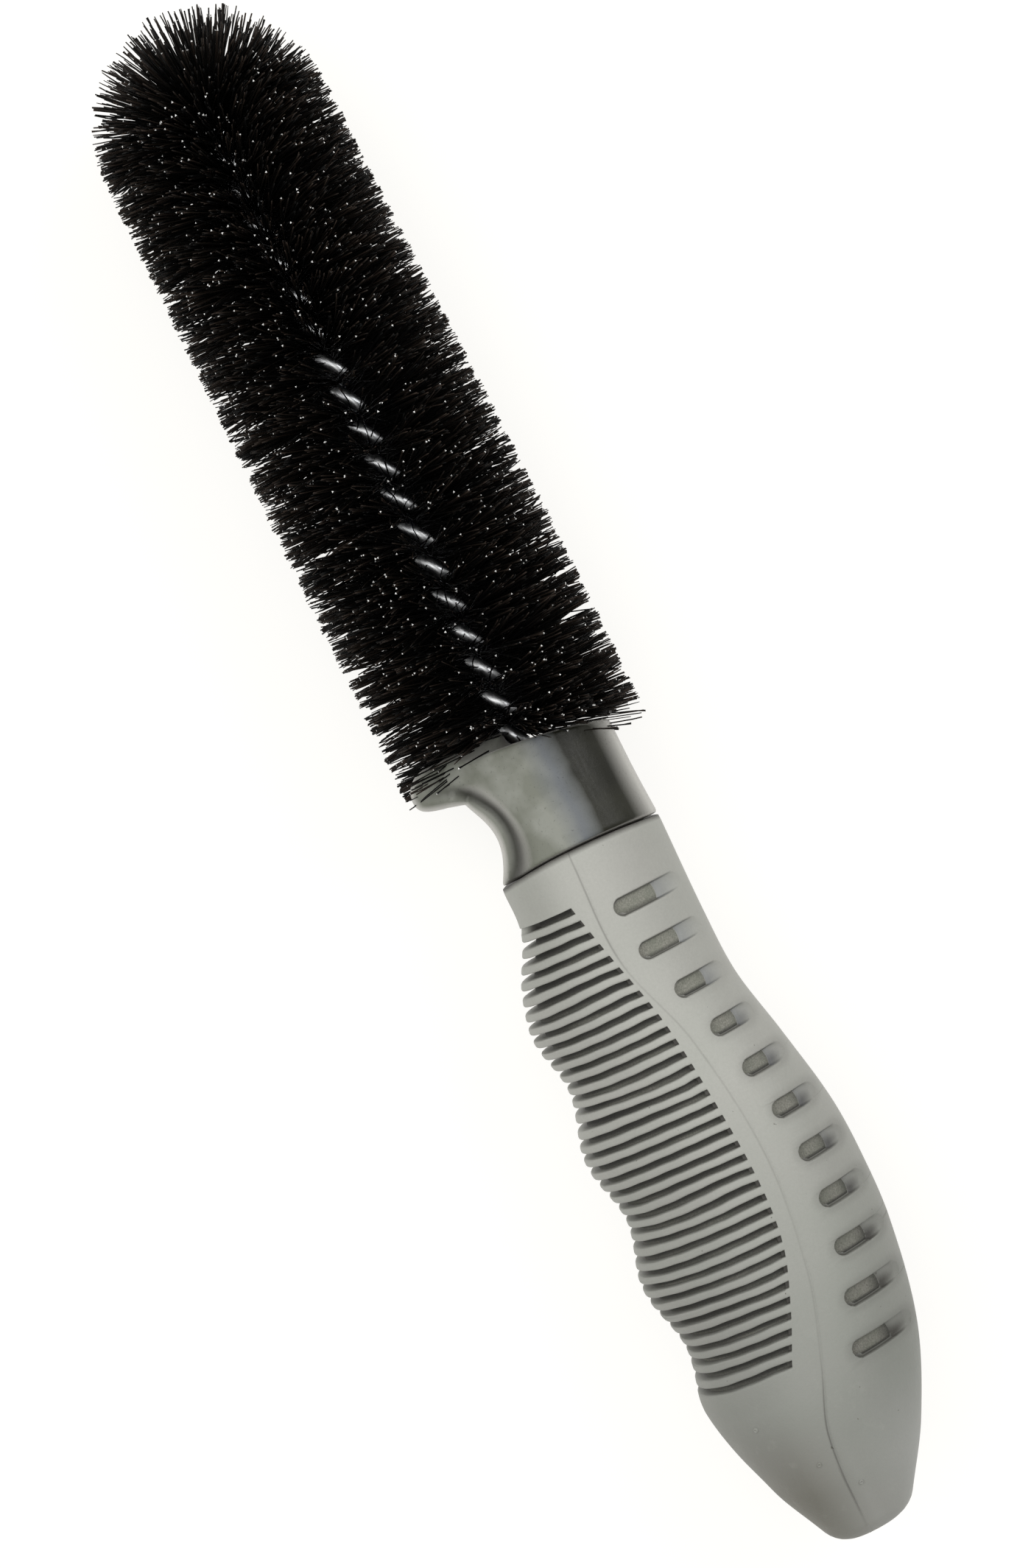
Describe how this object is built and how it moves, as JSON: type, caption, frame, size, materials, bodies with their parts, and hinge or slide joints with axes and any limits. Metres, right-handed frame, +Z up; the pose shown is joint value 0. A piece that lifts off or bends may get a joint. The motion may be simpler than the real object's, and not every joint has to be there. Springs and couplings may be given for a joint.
{
  "type": "wheel brush",
  "caption": "Hand brush for wheels: black twisted-in-wire bristle head, hard collar with a finger hook, soft grey contoured grip with fins and oval windows.",
  "frame": {"origin": "under the middle of the brush, on the surface that the bristle barrel rests on", "axes": "+X along the brush from the butt to the nose, +Y to the belly side of the handle where the fingers and the hook are, +Z up through the flank"},
  "size_m": [0.305, 0.047, 0.0462],
  "materials": {
    "bristle_filament": "matte",
    "galvanised_wire": "satin",
    "collar_plastic": "satin",
    "core_plastic": "matte",
    "soft_grip": "matte"
  },
  "bodies": {
    "root": {"tip_bristles": "bristle_filament", "barrel_bristles": "bristle_filament", "stem_wire": "galvanised_wire", "collar": "collar_plastic", "handle_core": "core_plastic", "rubber_grip": "soft_grip"}
  },
  "joints": []
}
